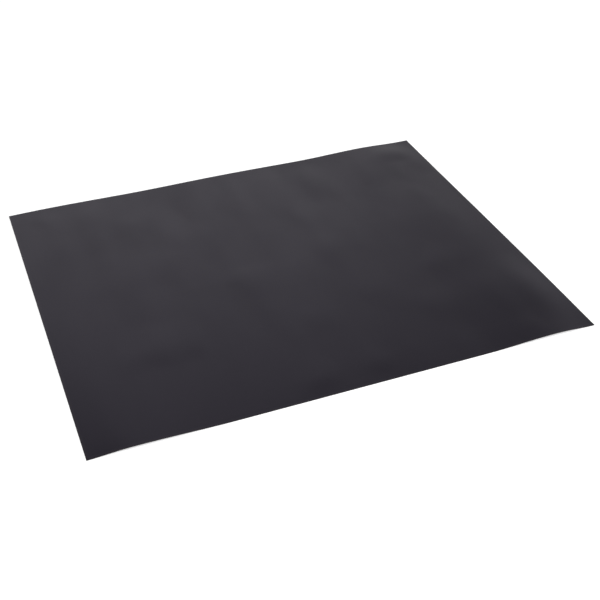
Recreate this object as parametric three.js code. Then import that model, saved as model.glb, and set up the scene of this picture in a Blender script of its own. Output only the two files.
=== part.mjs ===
// Barbecue grill mat, laid out flat: one rectangle of woven glass cloth with a black non-stick coat fused
// to each face. Millimetres, +Z up. The origin is on the surface that the mat lies on, under its middle.
// X runs along the mat and Y across it, so the near edge is at -Y, the far edge at +Y, the left edge at
// -X and the right edge at +X.
import * as THREE from "three";

// The cut
const MAT_LENGTH = 400;
const MAT_WIDTH = 330;

// The layers, from the underside up
const BOTTOM_COAT_THICKNESS = 0.04;
const CLOTH_THICKNESS = 0.12;
const TOP_COAT_THICKNESS = 0.04;

// The sheet is carried by a grid. At a crowding of 0 its lines are evenly spaced, and at 1 they crowd
// most to the edges, where the sheet bends.
const CELLS_ALONG = 26;
const CELLS_ACROSS = 21;
const EDGE_CROWDING = 0.55;

// A mat that comes off a roll doesn't settle all the way down: it keeps a low ridge along each short edge.
// At each station of a ridge: how far its crest is from that edge, its height, and how far it runs out
// towards the edge and into the mat.
const RIDGES = [
  {
    edge: "right",
    near: { inset: 36, height: 2.0, outwards: 40, inwards: 62 },
    middle: { inset: 36, height: 1.8, outwards: 60, inwards: 55 },
    far: { inset: 52, height: 1.4, outwards: 42, inwards: 75 },
  },
  {
    edge: "left",
    near: { inset: 33, height: 1.7, outwards: 38, inwards: 78 },
    middle: { inset: 22, height: 0.9, outwards: 54, inwards: 110 },
    far: { inset: 40, height: 1.1, outwards: 80, inwards: 112 },
  },
];

// The far edge also rises in one low wave about its middle: its height there, how far it runs to each side
// and how far it reaches into the mat.
const FAR_WAVE = { height: 1.0, run: 110, reach: 112 };

// Materials
const blackCoat = new THREE.MeshStandardMaterial({ color: 0x3d3b40, roughness: 0.5, metalness: 0 });
const undersideCoat = new THREE.MeshStandardMaterial({ color: 0x363538, roughness: 0.6, metalness: 0 });
const glassCloth = new THREE.MeshStandardMaterial({ color: 0x55524c, roughness: 0.75, metalness: 0 });

// How far a point of the mat is from one of its edges.
function distanceFrom(edge, x, y) {
  const distances = {
    near: MAT_WIDTH / 2 + y,
    far: MAT_WIDTH / 2 - y,
    left: MAT_LENGTH / 2 + x,
    right: MAT_LENGTH / 2 - x,
  };
  return distances[edge];
}

// The profile of a ridge or wave: 1 at its crest, falling smoothly to 0 at the end of its run.
function hump(share) {
  return Math.abs(share) < 1 ? Math.cos((share * Math.PI) / 2) ** 2 : 0;
}

// The profile of the far wave into the mat: 1 at the edge, easing down to 0 at the end of its reach.
function curl(share) {
  return share < 1 ? (1 - share) ** 2 : 0;
}

// One value of a ridge at a point across the mat, on the parabola through the ridge's three stations.
function atStation(ridge, value, y) {
  const t = y / (MAT_WIDTH / 2);
  const { near, middle, far } = ridge;
  return (near[value] * t * (t - 1)) / 2 + middle[value] * (1 - t * t) + (far[value] * t * (t + 1)) / 2;
}

function ridgeLift(ridge, x, y) {
  const pastCrest = distanceFrom(ridge.edge, x, y) - atStation(ridge, "inset", y);
  const run = atStation(ridge, pastCrest < 0 ? "outwards" : "inwards", y);
  return atStation(ridge, "height", y) * hump(pastCrest / run);
}

// How high the underside stands over the surface at a point of the mat.
function lift(x, y) {
  const wave = FAR_WAVE.height * hump(x / FAR_WAVE.run) * curl(distanceFrom("far", x, y) / FAR_WAVE.reach);
  return RIDGES.reduce((height, ridge) => height + ridgeLift(ridge, x, y), wave);
}

// Moves an evenly spaced share of a half side, from -1 to 1, towards the nearer edge.
function crowded(share) {
  return (1 - EDGE_CROWDING) * share + EDGE_CROWDING * Math.sin((share * Math.PI) / 2);
}

// The grid's points seen from above, row by row from the far edge, and its triangles.
function sheetGrid() {
  const plane = new THREE.PlaneGeometry(MAT_LENGTH, MAT_WIDTH, CELLS_ALONG, CELLS_ACROSS);
  const places = plane.getAttribute("position");
  const points = [];
  for (let i = 0; i < places.count; i++) {
    const x = crowded(places.getX(i) / (MAT_LENGTH / 2)) * (MAT_LENGTH / 2);
    const y = crowded(places.getY(i) / (MAT_WIDTH / 2)) * (MAT_WIDTH / 2);
    points.push(new THREE.Vector3(x, y, lift(x, y)));
  }
  return { points, triangles: plane.getIndex().array };
}

// The grid points along the cut edge, anticlockwise seen from above.
function cutEdge() {
  const row = CELLS_ALONG + 1;
  const edge = [];
  for (let i = 0; i < CELLS_ALONG; i++) edge.push(CELLS_ACROSS * row + i);
  for (let j = CELLS_ACROSS; j > 0; j--) edge.push(j * row + CELLS_ALONG);
  for (let i = CELLS_ALONG; i > 0; i--) edge.push(i);
  for (let j = 0; j < CELLS_ACROSS; j++) edge.push(j * row);
  return edge;
}

// One layer of the mat. Neighbouring layers share the grid and its diagonals, so they meet face to face
// with no gap.
function layer(name, material, underside, thickness) {
  const { points, triangles } = sheetGrid();
  const positions = [];
  for (const height of [underside + thickness, underside]) {
    for (const point of points) positions.push(point.x, point.y, point.z + height);
  }
  const below = points.length;
  const faces = [];
  for (let t = 0; t < triangles.length; t += 3) {
    const [a, b, c] = triangles.slice(t, t + 3);
    faces.push(a, b, c);
    faces.push(below + a, below + c, below + b);
  }
  const edge = cutEdge();
  edge.forEach((p, i) => {
    const q = edge[(i + 1) % edge.length];
    faces.push(below + p, below + q, q);
    faces.push(below + p, q, p);
  });
  const geometry = new THREE.BufferGeometry();
  geometry.setAttribute("position", new THREE.Float32BufferAttribute(positions, 3));
  geometry.setIndex(faces);
  geometry.computeVertexNormals();
  const mesh = new THREE.Mesh(geometry, material);
  mesh.name = name;
  return mesh;
}

const clothUnderside = BOTTOM_COAT_THICKNESS;
const topCoatUnderside = clothUnderside + CLOTH_THICKNESS;

const grillMat = new THREE.Group();
grillMat.name = "grill_mat";
grillMat.add(
  layer("bottom_coat", undersideCoat, 0, BOTTOM_COAT_THICKNESS),
  layer("glass_cloth", glassCloth, clothUnderside, CLOTH_THICKNESS),
  layer("top_coat", blackCoat, topCoatUnderside, TOP_COAT_THICKNESS),
);

export default grillMat;
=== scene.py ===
"""Barbecue grill mat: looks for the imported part. Metres, +Z up, in the part's own frame.

A sheet of woven glass cloth with a black non-stick coat on each face lies on a white studio floor.
X runs along the mat and Y across it. The near edge is at -Y and the far edge at +Y.
"""

import math

import bpy
import numpy as np
from mathutils import Matrix, Vector, noise


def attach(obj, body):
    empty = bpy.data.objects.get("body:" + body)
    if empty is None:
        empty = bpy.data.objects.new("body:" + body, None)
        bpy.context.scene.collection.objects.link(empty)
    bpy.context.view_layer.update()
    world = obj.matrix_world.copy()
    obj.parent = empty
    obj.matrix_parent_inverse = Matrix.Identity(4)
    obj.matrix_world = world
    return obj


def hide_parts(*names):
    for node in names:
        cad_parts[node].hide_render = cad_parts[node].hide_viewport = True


MM = 0.001

# The pieces, from the underside up: the piece's name, the CAD layer that it stands for, and its slot
LAYERS = [
    ("underside_coat", "bottom_coat", "underside_coat"),
    ("woven_core", "glass_cloth", "glass_cloth"),
    ("cooking_face_coat", "top_coat", "cooking_coat"),
]
GRID_STEP = 2.5 * MM
SHARP_ANGLE = math.radians(40)
# Places in the CAD layers are rounded to this many decimals of a metre, so that a grid line is one value
PLACE_DECIMALS = 7

# Small waves that the mat keeps from the roll: their lengths along X and along Y, and their height
SMALL_WAVES = [
    (24 * MM, 130 * MM, 0.30 * MM),
    (50 * MM, 50 * MM, 0.45 * MM),
    (26 * MM, 34 * MM, 0.20 * MM),
]
# Their troughs flatten out on the floor within the rest height, and they die out over the fade at the cut
WAVE_REST = 0.06 * MM
WAVE_FADE = 25 * MM

# Soft bulges, and a hollow in the right ridge: the middle of each, how far it runs along X and along Y,
# and its height
BULGES = [
    (150 * MM, -100 * MM, 45 * MM, 50 * MM, 0.5 * MM),
    (150 * MM, 85 * MM, 40 * MM, 60 * MM, -0.9 * MM),
    (78 * MM, 120 * MM, 24 * MM, 43 * MM, 0.8 * MM),
    (-42 * MM, -3 * MM, 30 * MM, 38 * MM, 0.2 * MM),
    (3 * MM, -75 * MM, 30 * MM, 28 * MM, 0.17 * MM),
    (174 * MM, 146 * MM, 26 * MM, 22 * MM, 0.7 * MM),
    (188 * MM, 126 * MM, 18 * MM, 34 * MM, 0.5 * MM),
    (182 * MM, -106 * MM, 24 * MM, 58 * MM, 0.8 * MM),
]

# The bake map of each piece: its showing face fills the foot of the map, and the rest lies above it
SHOWN_TOP = 0.83
HIDDEN_BAND = (0.84, 0.91)
RIM_BANDS = (0.92, 0.94, 0.96, 0.98)
RIM_BAND_HEIGHT = 0.012

# The weave: spacing of the yarns that run across the mat and of those that run along it. A repeat is two
# yarns, here 3 and 4 pixels of a bake map as wide as the mat is long, so that no moire shows on the map.
MAP_WIDTH = 400 * MM
MAP_PIXELS_ACROSS = 1024
MAP_PIXEL = MAP_WIDTH / MAP_PIXELS_ACROSS
WARP_PITCH = 1.5 * MAP_PIXEL
WEFT_PITCH = 2.0 * MAP_PIXEL
SLUB_LENGTH = 70 * MM
# How strongly the weave and the slubs show through a coat, and how deep they are there
PRINT_THROUGH = 0.6
PRINT_THROUGH_DEPTH = 0.02 * MM
SLUB_RELIEF = 0.2
SLUB_DEPTH = 0.02 * MM

# The coats: their colours under the gloss and where the cut has worn them, and the gloss itself
COOKING_COLOUR = (0.0108, 0.0094, 0.0142)
UNDERSIDE_COLOUR = (0.0118, 0.0105, 0.0150)
WORN_COLOUR = (0.030, 0.028, 0.027)
COAT_TINT = (0.845, 0.745, 1.0)
COAT_IOR = 1.38
COOKING_ROUGHNESS = 0.335
UNDERSIDE_ROUGHNESS = 0.40
# How far the colour strays to each side over the clouds and slubs, and the slubs' share in that
COLOUR_SPREAD = 0.2
SLUB_SHARE = 0.4
# The wear of the cut: how far in it reaches, and the size of its patches
WEAR_REACH = 2.5 * MM
WEAR_PATCH = 6 * MM

# How the coats' roughness varies: its whole span over each pattern, and the sizes of the patterns
CLOUD_DULLNESS = 0.16
STREAK_DULLNESS = 0.14
STIPPLE_DULLNESS = 0.05
LEAST_ROUGHNESS = 0.28
CLOUD_SIZE = 55 * MM
STIPPLE_SIZE = 1.8 * MM
STREAK_WIDTH = 30 * MM
STREAK_LENGTH = 110 * MM

# The cut cloth: the pale yarn ends, the coat in the gaps between them, and the roughness and relief of both
YARN_COLOUR = (0.16, 0.145, 0.115)
GAP_COLOUR = (0.030, 0.027, 0.024)
CLOTH_ROUGHNESS = (0.65, 0.85)
CLOTH_IOR = 1.5
CLOTH_CLOUD_SIZE = 20 * MM
CLOTH_STIPPLE_SIZE = 0.7 * MM
CLOTH_RELIEF = 0.5
CLOTH_DEPTH = 0.05 * MM

# The camera, found from the outline of the mat in a square picture. It stands over the near edge, to the
# left.
CAMERA_AIM = (-1.55 * MM, -49.6 * MM, 0.0)
CAMERA_AZIMUTH = math.radians(201.545)
CAMERA_ELEVATION = math.radians(36.463)
CAMERA_ROLL = math.radians(-0.032)
CAMERA_DISTANCE = 830.6 * MM
PICTURE_SIDE = 600
FOCAL_PIXELS = 1030.4
SENSOR_WIDTH = 36.0
CLIP_DISTANCES = (0.01, 100.0)

# The studio. A lamp's level is the brightness of its panel on the scale where 1 is white.
FLOOR_SIDE = 5.0
FLOOR_DROP = 0.02 * MM
FLOOR_COLOUR = (0.80, 0.80, 0.80)
FLOOR_LIFT = 0.49
# The world's level by the height of the direction, from 0 at the horizon to 1 at the zenith
WALL_LEVELS = [(0.0, 0.97), (0.55, 0.70), (0.65, 0.02), (1.0, 0.0)]
# The wall on the left is darker, easing out between these two values of the direction's X
LEFT_WALL_LEVEL = 0.30
LEFT_WALL_ENDS = (-0.30, 0.0)
# Each lamp: its name, the azimuth and elevation of the way to it in degrees, its distance, width, height
# and level
LAMPS = [
    ("back_softbox", 2, 38, 2.0, 1.65, 1.0, 0.52),
    ("front_softbox", 185, 62, 3.5, 4.0, 3.0, 2.9),
]


def node(tree, kind, inputs=None, **settings):
    """Adds a shader node. An input is given a value, or is linked if a socket is given."""
    made = tree.nodes.new(kind)
    for name, value in settings.items():
        setattr(made, name, value)
    for place, value in (inputs or {}).items():
        if isinstance(value, bpy.types.NodeSocket):
            tree.links.new(value, made.inputs[place])
        else:
            made.inputs[place].default_value = value
    return made


def maths(tree, operation, *values, clamp=False):
    """The result of a Math node on values or sockets."""
    made = node(tree, "ShaderNodeMath", dict(enumerate(values)), operation=operation, use_clamp=clamp)
    return made.outputs[0]


def mixed_values(tree, share, low, high):
    """low where share is 0 and high where it is 1."""
    made = node(tree, "ShaderNodeMix", {0: share, 2: low, 3: high}, data_type="FLOAT")
    return made.outputs[0]


def mixed_colours(tree, share, low, high):
    """The colour low where share is 0 and high where it is 1."""
    made = node(tree, "ShaderNodeMix", {0: share, 6: low, 7: high}, data_type="RGBA")
    return made.outputs[2]


def new_group(name, inputs, outputs):
    """A shader node group with these named sockets, and its inner ends."""
    tree = bpy.data.node_groups.new(name, "ShaderNodeTree")
    for socket, kind in inputs.items():
        tree.interface.new_socket(socket, in_out="INPUT", socket_type=kind)
    for socket, kind in outputs.items():
        tree.interface.new_socket(socket, in_out="OUTPUT", socket_type=kind)
    return tree, tree.nodes.new("NodeGroupInput"), tree.nodes.new("NodeGroupOutput")


def placed(tree, group, inputs):
    """A group placed in a material with its own values."""
    return node(tree, "ShaderNodeGroup", inputs, node_tree=group)


def plain_weave_group():
    """The height of a plain weave: each yarn passes over and under the yarns that cross it."""
    tree, given, result = new_group(
        "Plain weave",
        {"Position": "NodeSocketVector", "Warp Pitch": "NodeSocketFloat", "Weft Pitch": "NodeSocketFloat"},
        {"Height": "NodeSocketFloat"},
    )
    place = node(tree, "ShaderNodeSeparateXYZ", {0: given.outputs["Position"]})

    def swing(along, pitch):
        yarns = maths(tree, "DIVIDE", along, pitch)
        return maths(tree, "SINE", maths(tree, "MULTIPLY", yarns, math.pi))

    warp = swing(place.outputs["X"], given.outputs["Warp Pitch"])
    weft = swing(place.outputs["Y"], given.outputs["Weft Pitch"])
    warp_on_top = maths(tree, "GREATER_THAN", maths(tree, "MULTIPLY", warp, weft), 0.0)
    warp_size = maths(tree, "ABSOLUTE", warp)
    weft_size = maths(tree, "ABSOLUTE", weft)

    def crown(across, along):
        rounded = maths(tree, "MULTIPLY", across, maths(tree, "SUBTRACT", 2.0, across))
        dipping = maths(tree, "MULTIPLY", along, along)
        return maths(tree, "MULTIPLY", rounded, dipping)

    warp_crown = crown(warp_size, weft_size)
    weft_crown = crown(weft_size, warp_size)
    height = mixed_values(tree, warp_on_top, weft_crown, warp_crown)
    tree.links.new(height, result.inputs["Height"])
    return tree


def slub_group():
    """Faint streaks along the yarns, which are never equally thick. Streak runs from 0 to 1, about 0.5."""
    tree, given, result = new_group(
        "Yarn slubs",
        {
            "Position": "NodeSocketVector",
            "Warp Pitch": "NodeSocketFloat",
            "Weft Pitch": "NodeSocketFloat",
            "Length": "NodeSocketFloat",
        },
        {"Streak": "NodeSocketFloat"},
    )
    place = node(tree, "ShaderNodeSeparateXYZ", {0: given.outputs["Position"]})

    def streaks(across, pitch, along):
        yarns = maths(tree, "DIVIDE", across, pitch)
        lengths = maths(tree, "DIVIDE", along, given.outputs["Length"])
        stretched = node(tree, "ShaderNodeCombineXYZ", {0: yarns, 1: lengths})
        yarn_map = node(
            tree,
            "ShaderNodeTexNoise",
            {"Vector": stretched.outputs[0], "Scale": 0.5, "Detail": 2.0, "Roughness": 0.55},
            noise_dimensions="2D",
        )
        return yarn_map.outputs["Fac"]

    warp = streaks(place.outputs["X"], given.outputs["Warp Pitch"], place.outputs["Y"])
    weft = streaks(place.outputs["Y"], given.outputs["Weft Pitch"], place.outputs["X"])
    streak = maths(tree, "MULTIPLY", maths(tree, "ADD", warp, weft), 0.5)
    tree.links.new(streak, result.inputs["Streak"])
    return tree


def dull_streak_group():
    """Streaks that lie across the roll, where bending has dulled the coat. Streak runs from 0 to 1."""
    tree, given, result = new_group(
        "Dull streaks",
        {"Position": "NodeSocketVector", "Width": "NodeSocketFloat", "Length": "NodeSocketFloat"},
        {"Streak": "NodeSocketFloat"},
    )
    place = node(tree, "ShaderNodeSeparateXYZ", {0: given.outputs["Position"]})
    across = maths(tree, "DIVIDE", place.outputs["X"], given.outputs["Width"])
    along = maths(tree, "DIVIDE", place.outputs["Y"], given.outputs["Length"])
    stretched = node(tree, "ShaderNodeCombineXYZ", {0: across, 1: along})
    streak_map = node(
        tree,
        "ShaderNodeTexNoise",
        {"Vector": stretched.outputs[0], "Scale": 1.0, "Detail": 1.5},
        noise_dimensions="2D",
    )
    tree.links.new(streak_map.outputs["Fac"], result.inputs["Streak"])
    return tree


def coat_depth_group():
    """Where the coat dried thicker and thinner: soft clouds and a fine stipple. Both run from 0 to 1."""
    tree, given, result = new_group(
        "Coat depth",
        {"Position": "NodeSocketVector", "Cloud Size": "NodeSocketFloat", "Stipple Size": "NodeSocketFloat"},
        {"Clouds": "NodeSocketFloat", "Stipple": "NodeSocketFloat"},
    )

    def pattern(size, detail):
        scale = maths(tree, "DIVIDE", 1.0, size)
        depth_map = node(
            tree,
            "ShaderNodeTexNoise",
            {"Vector": given.outputs["Position"], "Scale": scale, "Detail": detail, "Roughness": 0.5},
        )
        return depth_map.outputs["Fac"]

    tree.links.new(pattern(given.outputs["Cloud Size"], detail=3.0), result.inputs["Clouds"])
    tree.links.new(pattern(given.outputs["Stipple Size"], detail=1.0), result.inputs["Stipple"])
    return tree


def cut_edge_group():
    """Wear is greatest on the cut and fades out over the reach, unevenly along the edge."""
    tree, given, result = new_group(
        "Cut edge",
        {
            "Position": "NodeSocketVector",
            "Half Length": "NodeSocketFloat",
            "Half Width": "NodeSocketFloat",
            "Reach": "NodeSocketFloat",
        },
        {"Wear": "NodeSocketFloat"},
    )
    place = node(tree, "ShaderNodeSeparateXYZ", {0: given.outputs["Position"]})

    def inside(along, half):
        return maths(tree, "SUBTRACT", half, maths(tree, "ABSOLUTE", along))

    from_ends = inside(place.outputs["X"], given.outputs["Half Length"])
    from_sides = inside(place.outputs["Y"], given.outputs["Half Width"])
    inwards = maths(tree, "DIVIDE", maths(tree, "MINIMUM", from_ends, from_sides), given.outputs["Reach"])
    fade = maths(tree, "SUBTRACT", 1.0, inwards, clamp=True)
    uneven = node(
        tree,
        "ShaderNodeTexNoise",
        {"Vector": given.outputs["Position"], "Scale": 1 / WEAR_PATCH, "Detail": 2.0},
    )
    wear = maths(tree, "MULTIPLY", maths(tree, "MULTIPLY", fade, fade), uneven.outputs["Fac"])
    tree.links.new(wear, result.inputs["Wear"])
    return tree


def new_material(name):
    """A material with a Principled BSDF, and the place on the mat that its patterns are laid by."""
    material = bpy.data.materials.new(name)
    material.use_nodes = True
    tree = material.node_tree
    tree.nodes.clear()
    shader = tree.nodes.new("ShaderNodeBsdfPrincipled")
    node(tree, "ShaderNodeOutputMaterial", {"Surface": shader.outputs[0]})
    place = node(tree, "ShaderNodeTexCoord").outputs["Object"]
    return material, tree, shader, place


def cloth_weave(tree, groups, half_size, place):
    """The weave group placed in a material, with its yarns laid from the mat's near left corner."""
    to_corner = (half_size[0], half_size[1], 0.0)
    from_corner = node(tree, "ShaderNodeVectorMath", {0: place, 1: to_corner}, operation="ADD")
    yarns = {"Position": from_corner.outputs[0], "Warp Pitch": WARP_PITCH, "Weft Pitch": WEFT_PITCH}
    return placed(tree, groups["weave"], yarns)


def coat_material(name, groups, half_size, colour, roughness):
    """Black non-stick coat with the weave of the cloth printing through it."""
    material, tree, shader, place = new_material(name)
    weave = cloth_weave(tree, groups, half_size, place)
    slubs = placed(
        tree,
        groups["slubs"],
        {"Position": place, "Warp Pitch": WARP_PITCH, "Weft Pitch": WEFT_PITCH, "Length": SLUB_LENGTH},
    )
    depth = placed(
        tree, groups["depth"], {"Position": place, "Cloud Size": CLOUD_SIZE, "Stipple Size": STIPPLE_SIZE}
    )
    dull = placed(
        tree, groups["dull"], {"Position": place, "Width": STREAK_WIDTH, "Length": STREAK_LENGTH}
    )
    edge = placed(
        tree,
        groups["edge"],
        {"Position": place, "Half Length": half_size[0], "Half Width": half_size[1], "Reach": WEAR_REACH},
    )
    dark = [(1 - COLOUR_SPREAD) * part for part in colour]
    light = [(1 + COLOUR_SPREAD) * part for part in colour]
    depths = mixed_values(tree, SLUB_SHARE, depth.outputs["Clouds"], slubs.outputs["Streak"])
    tone = mixed_colours(tree, depths, (*dark, 1), (*light, 1))
    worn = mixed_colours(tree, edge.outputs["Wear"], tone, (*WORN_COLOUR, 1))
    tree.links.new(worn, shader.inputs["Base Color"])
    matt = roughness
    for pattern, span in (
        (depth.outputs["Clouds"], CLOUD_DULLNESS),
        (dull.outputs["Streak"], STREAK_DULLNESS),
        (depth.outputs["Stipple"], STIPPLE_DULLNESS),
    ):
        swing = maths(tree, "MULTIPLY", maths(tree, "SUBTRACT", pattern, 0.5), span)
        matt = maths(tree, "ADD", swing, matt)
    matt = maths(tree, "MAXIMUM", matt, LEAST_ROUGHNESS)
    tree.links.new(matt, shader.inputs["Roughness"])
    print_through = node(
        tree,
        "ShaderNodeBump",
        {"Height": weave.outputs["Height"], "Strength": PRINT_THROUGH, "Distance": PRINT_THROUGH_DEPTH},
    )
    uneven = node(
        tree,
        "ShaderNodeBump",
        {
            "Height": slubs.outputs["Streak"],
            "Strength": SLUB_RELIEF,
            "Distance": SLUB_DEPTH,
            "Normal": print_through.outputs[0],
        },
    )
    tree.links.new(uneven.outputs[0], shader.inputs["Normal"])
    shader.inputs["IOR"].default_value = COAT_IOR
    shader.inputs["Specular Tint"].default_value = (*COAT_TINT, 1)
    return material


def glass_cloth_material(name, groups, half_size):
    """Glass cloth, seen only on the cut, where the pale yarn ends alternate with the coat between them."""
    material, tree, shader, place = new_material(name)
    weave = cloth_weave(tree, groups, half_size, place)
    depth = placed(
        tree,
        groups["depth"],
        {"Position": place, "Cloud Size": CLOTH_CLOUD_SIZE, "Stipple Size": CLOTH_STIPPLE_SIZE},
    )
    ends = maths(tree, "MULTIPLY", weave.outputs["Height"], depth.outputs["Stipple"], clamp=True)
    cut = mixed_colours(tree, ends, (*GAP_COLOUR, 1), (*YARN_COLOUR, 1))
    tree.links.new(cut, shader.inputs["Base Color"])
    matt = mixed_values(tree, depth.outputs["Clouds"], *CLOTH_ROUGHNESS)
    tree.links.new(matt, shader.inputs["Roughness"])
    bump = node(
        tree,
        "ShaderNodeBump",
        {"Height": weave.outputs["Height"], "Strength": CLOTH_RELIEF, "Distance": CLOTH_DEPTH},
    )
    tree.links.new(bump.outputs[0], shader.inputs["Normal"])
    shader.inputs["IOR"].default_value = CLOTH_IOR
    return material


def cad_layer(name):
    """The grid lines of a CAD layer, and the heights of its underside and of its upper face over them."""
    places = np.round([v.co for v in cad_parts[name].data.vertices], PLACE_DECIMALS)
    lines_x, column = np.unique(places[:, 0], return_inverse=True)
    lines_y, row = np.unique(places[:, 1], return_inverse=True)
    under = np.full((len(lines_y), len(lines_x)), np.inf)
    over = np.full_like(under, -np.inf)
    np.minimum.at(under, (row, column), places[:, 2])
    np.maximum.at(over, (row, column), places[:, 2])
    return lines_x, lines_y, under, over


def spline_weights(knots, places):
    """Weights that carry values at the knots to other places on their line, by a natural cubic spline."""
    gaps = np.diff(knots)
    unit = np.eye(len(knots))
    system = np.eye(len(knots))
    pull = np.zeros_like(system)
    for i in range(1, len(knots) - 1):
        before, after = gaps[i - 1], gaps[i]
        system[i, i - 1 : i + 2] = before, 2 * (before + after), after
        pull[i, i - 1 : i + 2] = 6 / before, -6 / before - 6 / after, 6 / after
    bends = np.linalg.solve(system, pull)
    cell = np.clip(np.searchsorted(knots, places, side="right") - 1, 0, len(gaps) - 1)
    gap = gaps[cell][:, None]
    right = (places - knots[cell])[:, None] / gap
    left = 1 - right
    straight = left * unit[cell] + right * unit[cell + 1]
    curved = (left**3 - left) * bends[cell] + (right**3 - right) * bends[cell + 1]
    return straight + curved * gap**2 / 6


def fine_line(knots):
    """Evenly spaced places from the first knot to the last, about a grid step apart."""
    steps = round((knots[-1] - knots[0]) / GRID_STEP)
    return np.linspace(knots[0], knots[-1], steps + 1)


def eased(share):
    """From 0 to 1 with no kink at either end."""
    share = np.clip(share, 0, 1)
    return share * share * (3 - 2 * share)


def small_waves(xs, ys):
    """The height of the small waves over a grid: they rise from the floor, and there are none on the cut."""
    swell = np.zeros((len(ys), len(xs)))
    for number, (long_x, long_y, height) in enumerate(SMALL_WAVES):
        # Each set of waves is a slice of its own through the noise, half-way between two of its nodes
        depth = number + 0.5
        rows = [[noise.noise((x / long_x, y / long_y, depth)) for x in xs] for y in ys]
        swell += height * np.array(rows)
    risen = (swell + np.hypot(swell, WAVE_REST)) / 2
    from_ends = eased((xs[-1] - np.abs(xs)) / WAVE_FADE)
    from_sides = eased((ys[-1] - np.abs(ys)) / WAVE_FADE)
    return risen * from_sides[:, None] * from_ends


def hump(share):
    """1 in the middle of a bulge, falling smoothly to 0 at the end of its run."""
    return np.cos(np.clip(share, -1, 1) * math.pi / 2) ** 2


def soft_bulges(xs, ys):
    """The height of the bulges over a grid."""
    total = np.zeros((len(ys), len(xs)))
    for x, y, run_x, run_y, height in BULGES:
        total += height * hump((ys - y) / run_y)[:, None] * hump((xs - x) / run_x)
    return total


def fine_sheet():
    """The mat's fine grid, and the height of its underside over the floor there."""
    knots_x, knots_y, under, _ = cad_layer("bottom_coat")
    xs, ys = fine_line(knots_x), fine_line(knots_y)
    lift = spline_weights(knots_y, ys) @ under @ spline_weights(knots_x, xs).T + soft_bulges(xs, ys)
    return xs, ys, np.maximum(lift, 0.0) + small_waves(xs, ys)


def rim_of(columns, rows):
    """The four sides of a grid's rim as lists of points, anticlockwise seen from above."""
    grid = np.arange(columns * rows).reshape(rows, columns)
    return [grid[0], grid[:, -1], grid[-1, ::-1], grid[::-1, 0]]


def bake_map(mesh, corners_on_map):
    """Lays the faces out on a map for the export, with no two of them over each other."""
    layer = mesh.uv_layers.new(name="OFBake")
    layer.data.foreach_set("uv", np.asarray(corners_on_map, np.float32).ravel())


def layer_piece(name, xs, ys, under, over, shows_below):
    """A closed sheet between two height fields over the fine grid, with its map."""
    columns, rows = len(xs), len(ys)
    count = columns * rows
    flat_x, flat_y = np.meshgrid(xs, ys)
    points = [
        np.stack([flat_x.ravel(), flat_y.ravel(), heights.ravel()], axis=1) for heights in (over, under)
    ]
    grid = np.arange(count).reshape(rows, columns)
    quads = np.stack(
        [grid[:-1, :-1].ravel(), grid[:-1, 1:].ravel(), grid[1:, 1:].ravel(), grid[1:, :-1].ravel()], axis=1
    )
    faces = [quads, quads[:, ::-1] + count]

    length, width = xs[-1] - xs[0], ys[-1] - ys[0]
    shares = np.stack([(flat_x - xs[0]) / length, (flat_y - ys[0]) / width], axis=-1).reshape(-1, 2)
    shown = shares * (1, min(SHOWN_TOP, width / length))
    hidden = shares * (1, HIDDEN_BAND[1] - HIDDEN_BAND[0]) + (0, HIDDEN_BAND[0])
    above, below = (hidden, shown) if shows_below else (shown, hidden)
    maps = [above[quads], below[quads[:, ::-1]]]

    for side, band in zip(rim_of(columns, rows), RIM_BANDS):
        start, end = side[:-1], side[1:]
        faces.append(np.stack([start + count, end + count, end, start], axis=1))
        share = np.linspace(0, 1, len(side))
        foot, head = np.full(len(start), band), np.full(len(start), band + RIM_BAND_HEIGHT)
        ring = [(share[:-1], foot), (share[1:], foot), (share[1:], head), (share[:-1], head)]
        maps.append(np.stack([np.stack(corner, axis=-1) for corner in ring], axis=1))

    mesh = bpy.data.meshes.new(name)
    mesh.from_pydata(np.concatenate(points), [], np.concatenate(faces))
    bake_map(mesh, np.concatenate([m.reshape(-1, 2) for m in maps]))
    mesh.shade_smooth()
    mesh.set_sharp_from_angle(angle=SHARP_ANGLE)
    piece = bpy.data.objects.new(name, mesh)
    bpy.context.scene.collection.objects.link(piece)
    return piece


def grill_mat():
    """The three layers, each standing for its CAD layer."""
    xs, ys, lift = fine_sheet()
    half_size = xs[-1], ys[-1]
    groups = {
        "weave": plain_weave_group(),
        "slubs": slub_group(),
        "depth": coat_depth_group(),
        "dull": dull_streak_group(),
        "edge": cut_edge_group(),
    }
    finishes = {
        "underside_coat": coat_material(
            "matt underside coat", groups, half_size, UNDERSIDE_COLOUR, UNDERSIDE_ROUGHNESS
        ),
        "woven_core": glass_cloth_material("cut glass cloth", groups, half_size),
        "cooking_face_coat": coat_material(
            "satin cooking coat", groups, half_size, COOKING_COLOUR, COOKING_ROUGHNESS
        ),
    }
    _, _, mat_under, _ = cad_layer("bottom_coat")
    for name, layer, slot in LAYERS:
        _, _, under, over = cad_layer(layer)
        foot, head = np.mean(under - mat_under), np.mean(over - mat_under)
        piece = layer_piece(name, xs, ys, lift + foot, lift + head, shows_below=layer == "bottom_coat")
        piece.data.materials.append(finishes[name])
        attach(piece, "root")
        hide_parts(layer)


def way_to(azimuth, elevation):
    """The direction to a thing seen from the mat. Azimuth 0 is over the far edge, and 90 over the right."""
    flat = math.cos(elevation)
    return Vector((math.sin(azimuth) * flat, math.cos(azimuth) * flat, math.sin(elevation)))


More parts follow.
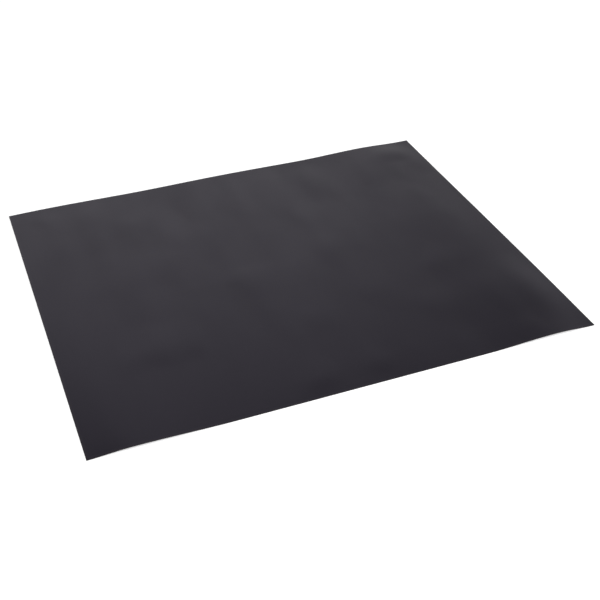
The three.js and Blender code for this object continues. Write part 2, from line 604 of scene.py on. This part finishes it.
def soft_lamp(name, azimuth, elevation, distance, width, height, level):
    """A soft rectangular lamp that faces the middle of the mat."""
    data = bpy.data.lights.new(name, "AREA")
    data.shape = "RECTANGLE"
    data.size, data.size_y = width, height
    # The power that makes a panel of this size as bright as its level
    data.energy = level * math.pi * width * height
    lamp = bpy.data.objects.new(name, data)
    way = way_to(math.radians(azimuth), math.radians(elevation))
    lamp.location = way * distance
    lamp.rotation_euler = way.to_track_quat("Z", "Y").to_euler()
    bpy.context.scene.collection.objects.link(lamp)


def studio_floor():
    """A pale floor that keeps the mat's shadow and is lifted to white where it is seen."""
    half = FLOOR_SIDE / 2
    corners = [(-half, -half), (half, -half), (half, half), (-half, half)]
    mesh = bpy.data.meshes.new("studio_floor")
    mesh.from_pydata([(x, y, -FLOOR_DROP) for x, y in corners], [], [(0, 1, 2, 3)])
    floor = bpy.data.objects.new("studio_floor", mesh)
    bpy.context.scene.collection.objects.link(floor)
    material = bpy.data.materials.new("white floor")
    material.use_nodes = True
    tree = material.node_tree
    tree.nodes.clear()
    path = node(tree, "ShaderNodeLightPath")
    seen_or_glossy = maths(tree, "MAXIMUM", path.outputs["Is Camera Ray"], path.outputs["Is Glossy Ray"])
    seen = maths(tree, "MAXIMUM", seen_or_glossy, path.outputs["Is Transmission Ray"])
    lift = node(tree, "ShaderNodeEmission", {"Strength": maths(tree, "MULTIPLY", seen, FLOOR_LIFT)})
    paint = node(tree, "ShaderNodeBsdfDiffuse", {"Color": (*FLOOR_COLOUR, 1)})
    both = node(tree, "ShaderNodeAddShader", {0: paint.outputs[0], 1: lift.outputs[0]})
    node(tree, "ShaderNodeOutputMaterial", {"Surface": both.outputs[0]})
    mesh.materials.append(material)


def studio_world():
    """White walls under a dark ceiling, with the left one darker where it lights the mat."""
    world = bpy.data.worlds.new("studio")
    world.use_nodes = True
    tree = world.node_tree
    way = node(tree, "ShaderNodeSeparateXYZ", {0: node(tree, "ShaderNodeTexCoord").outputs["Generated"]})
    walls = node(tree, "ShaderNodeValToRGB", {0: way.outputs["Z"]})
    stops = walls.color_ramp.elements
    # A new stop may start anywhere, because each is moved to its place below
    while len(stops) < len(WALL_LEVELS):
        stops.new(0.5)
    for stop, (height, level) in zip(stops, WALL_LEVELS):
        stop.position = height
        stop.color = (level, level, level, 1)
    side = node(
        tree,
        "ShaderNodeMapRange",
        {
            "Value": way.outputs["X"],
            "From Min": LEFT_WALL_ENDS[0],
            "From Max": LEFT_WALL_ENDS[1],
            "To Min": LEFT_WALL_LEVEL,
            "To Max": 1.0,
        },
        interpolation_type="SMOOTHSTEP",
    )
    seen = node(tree, "ShaderNodeLightPath").outputs["Is Camera Ray"]
    background = tree.nodes["Background"]
    tree.links.new(walls.outputs["Color"], background.inputs["Color"])
    tree.links.new(maths(tree, "MAXIMUM", side.outputs[0], seen), background.inputs["Strength"])
    bpy.context.scene.world = world


def photo_camera():
    """The camera at the photograph's viewing angle."""
    data = bpy.data.cameras.new("camera")
    data.sensor_width = SENSOR_WIDTH
    data.lens = FOCAL_PIXELS / PICTURE_SIDE * SENSOR_WIDTH
    data.clip_start, data.clip_end = CLIP_DISTANCES
    camera = bpy.data.objects.new("camera", data)
    back = way_to(CAMERA_AZIMUTH, CAMERA_ELEVATION)
    turn = back.to_track_quat("Z", "Y").to_matrix() @ Matrix.Rotation(CAMERA_ROLL, 3, "Z")
    camera.matrix_world = Matrix.LocRotScale(Vector(CAMERA_AIM) + back * CAMERA_DISTANCE, turn, None)
    bpy.context.scene.collection.objects.link(camera)
    bpy.context.scene.camera = camera


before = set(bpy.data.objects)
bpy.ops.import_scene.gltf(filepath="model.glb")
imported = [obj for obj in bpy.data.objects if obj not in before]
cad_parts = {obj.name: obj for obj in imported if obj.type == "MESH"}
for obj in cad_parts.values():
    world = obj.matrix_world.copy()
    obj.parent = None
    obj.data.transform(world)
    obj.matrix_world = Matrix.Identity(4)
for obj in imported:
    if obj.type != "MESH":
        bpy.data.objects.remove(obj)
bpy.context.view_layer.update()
bpy.context.scene.view_settings.view_transform = "Standard"
photo_camera()
grill_mat()
studio_floor()
studio_world()
for lamp in LAMPS:
    soft_lamp(*lamp)
